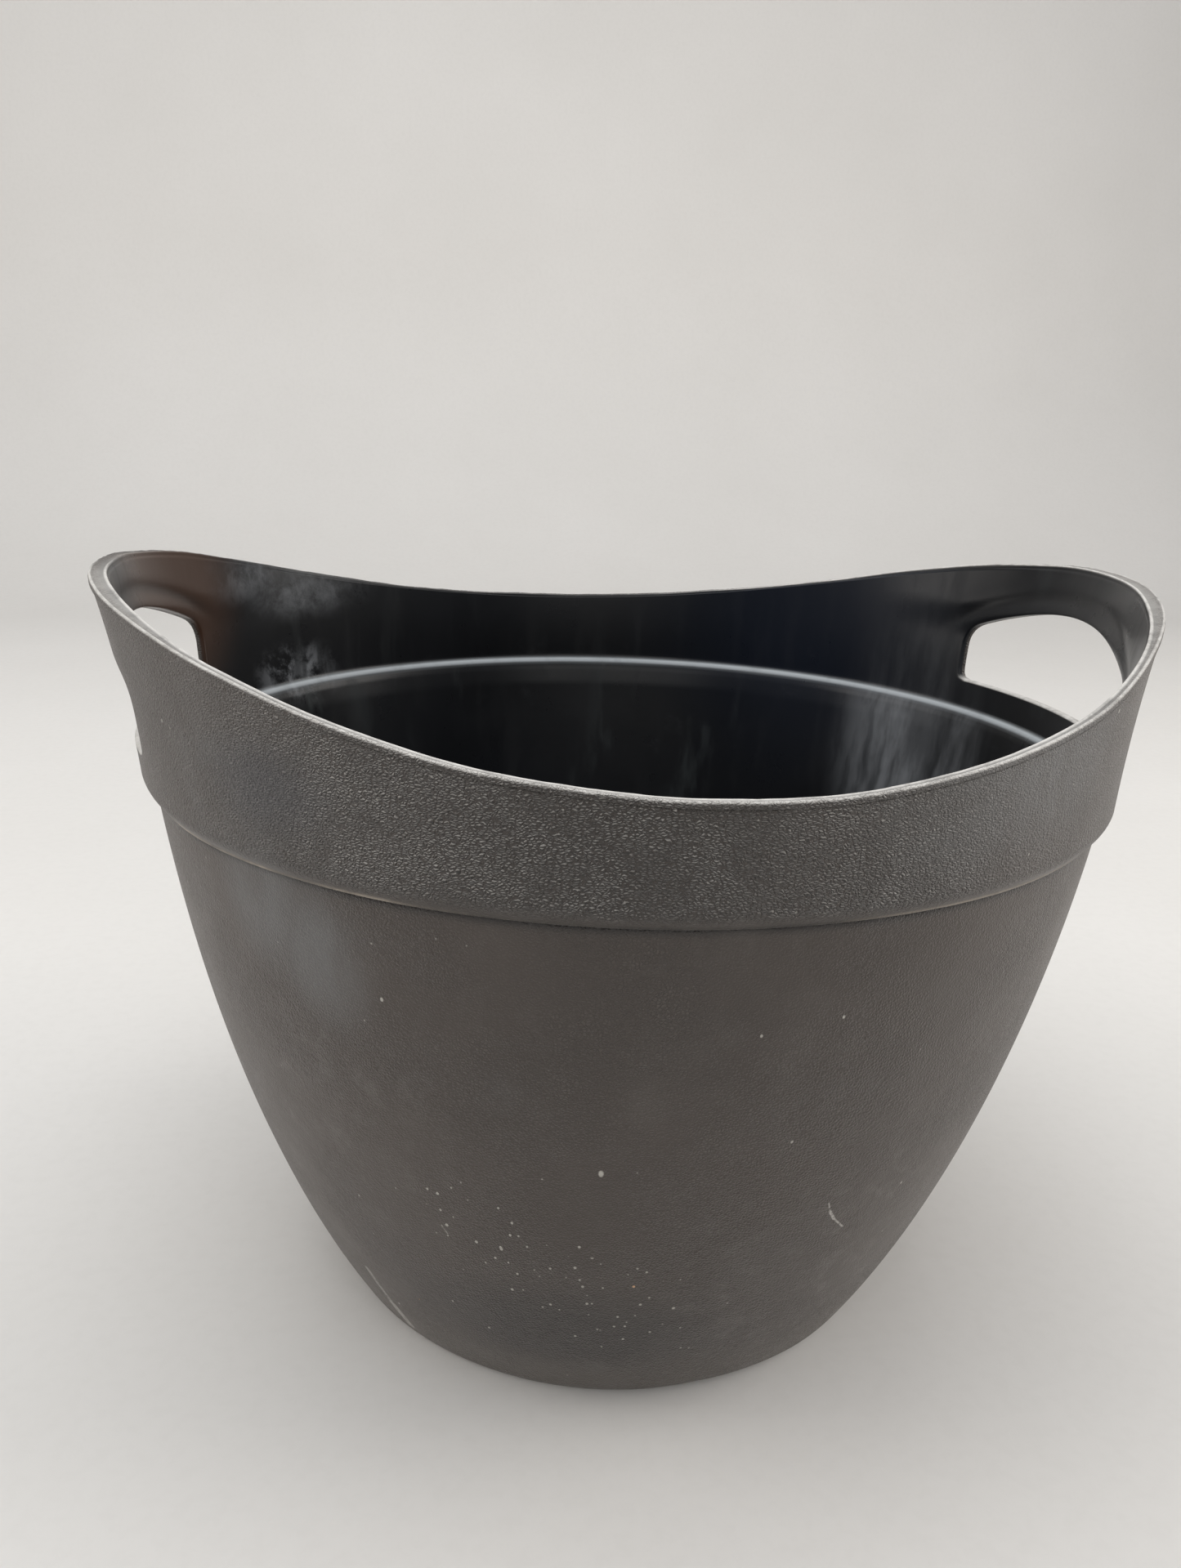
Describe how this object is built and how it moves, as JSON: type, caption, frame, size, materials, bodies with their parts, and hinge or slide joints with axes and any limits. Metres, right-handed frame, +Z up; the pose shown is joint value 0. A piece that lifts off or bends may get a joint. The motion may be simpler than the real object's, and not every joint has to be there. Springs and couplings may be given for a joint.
{
  "type": "florist bucket",
  "caption": "Open moulded plastic flower bucket with curved tapered sides, a flared collar, a saddle rim, hand holes and a pull-out drain plug.",
  "frame": {"origin": "centre of the underside, in the plane of the foot ring that the bucket stands on", "axes": "+Z up, +X through the middle of the two hand holes, +Y across them"},
  "size_m": [0.3526, 0.3346, 0.2571],
  "materials": {
    "tub_plastic": "leather-grained matte outside, smooth satin inside",
    "plug_rubber": "matte"
  },
  "bodies": {
    "tub": {"tub": "tub_plastic"},
    "plug": {"drain_plug": "plug_rubber"}
  },
  "joints": [
    {"name": "plug_pull", "type": "slide", "parent": "tub", "child": "plug", "axis": [0, 0, 1], "range_m": [0, 0.27]}
  ]
}
